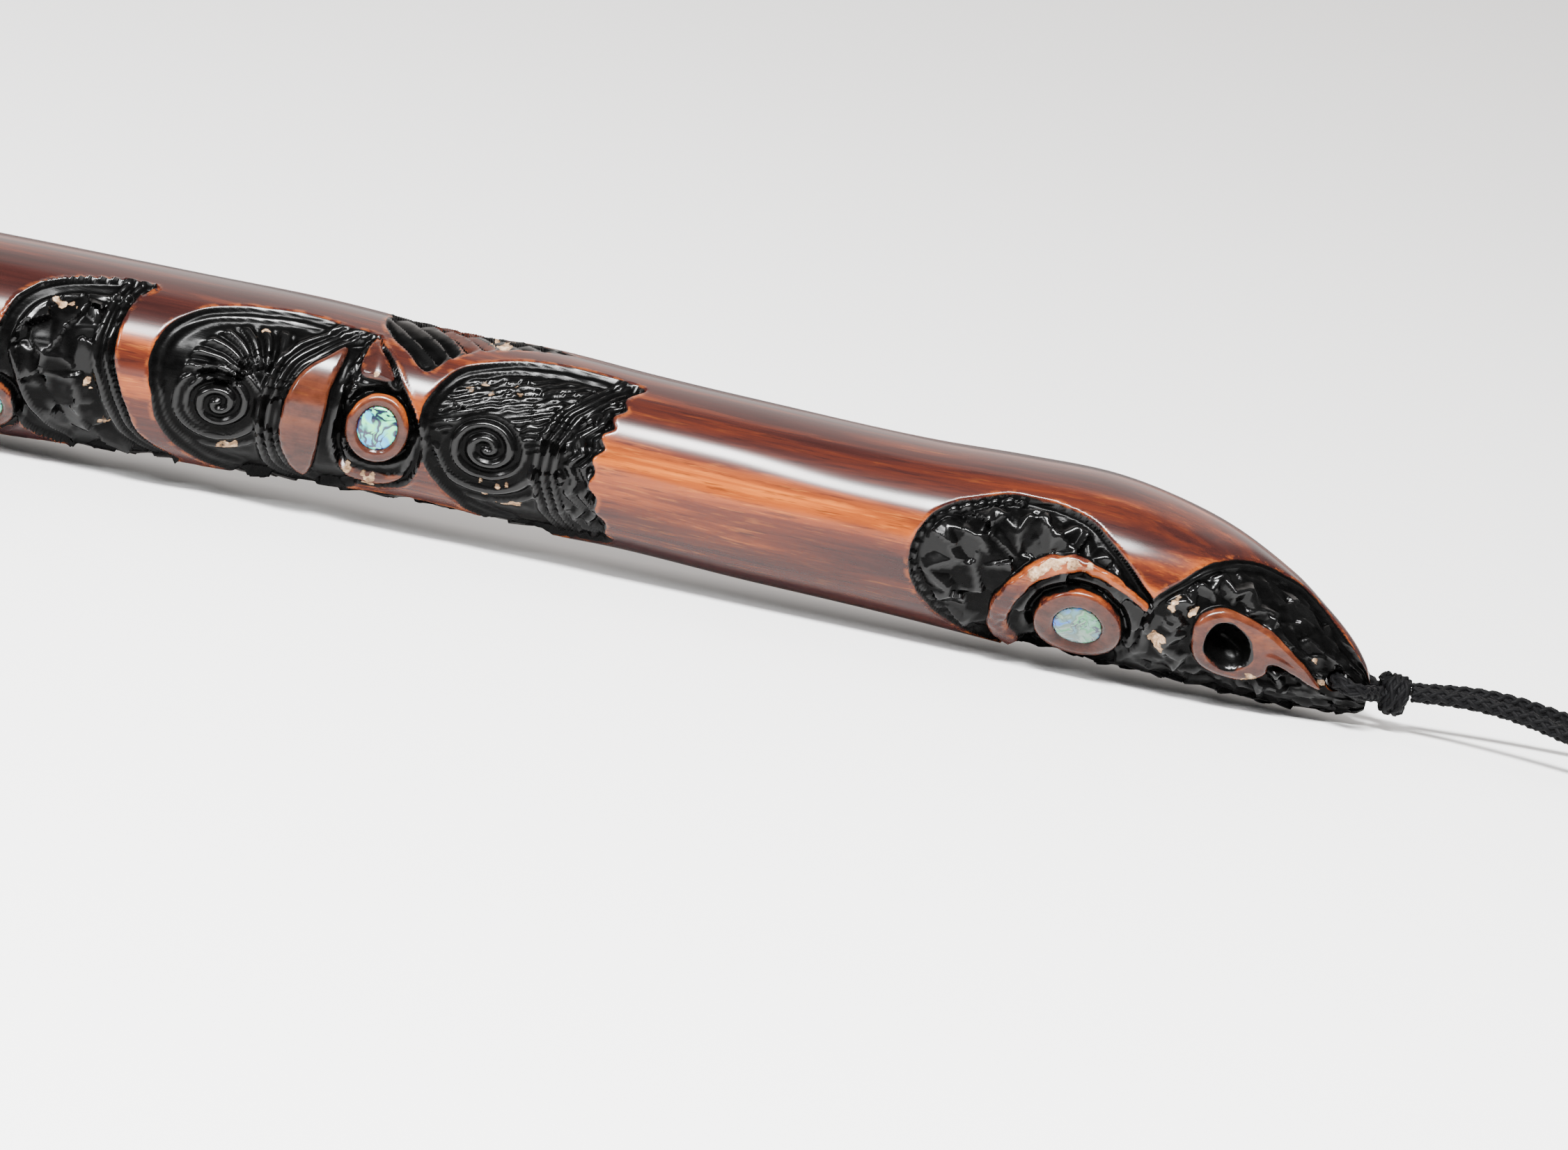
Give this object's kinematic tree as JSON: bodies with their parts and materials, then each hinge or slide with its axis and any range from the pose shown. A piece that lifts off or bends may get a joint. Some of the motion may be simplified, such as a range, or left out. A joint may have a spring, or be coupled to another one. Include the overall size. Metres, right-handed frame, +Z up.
{
  "type": "carved wooden flute",
  "caption": "Side-blown wooden flute with a carved snout head, inlaid shell eyes, a blow hole, finger holes and an open bore, and a short black cord loop through the snout.",
  "frame": {"origin": "on the ground plane, under the middle of the body", "axes": "+X from the open end towards the tip of the snout, +Z up, -Y towards the right half of the body"},
  "size_m": [0.5579, 0.0398, 0.0376],
  "materials": {
    "carved_wood": "dark red-brown hardwood, glossy varnish, black stain in the carving",
    "shell": "polished blue-green shell",
    "cord": "black braided waxed cord"
  },
  "bodies": {
    "root": {"body_half_right": "carved_wood", "body_half_left": "carved_wood", "head_eye_right": "shell", "head_eye_left": "shell", "shoulder_eye_right": "shell", "shoulder_eye_left": "shell", "hip_eye_right": "shell", "hip_eye_left": "shell", "cord_bight": "cord", "cord_knot": "cord", "cord_loop": "cord"}
  },
  "joints": []
}
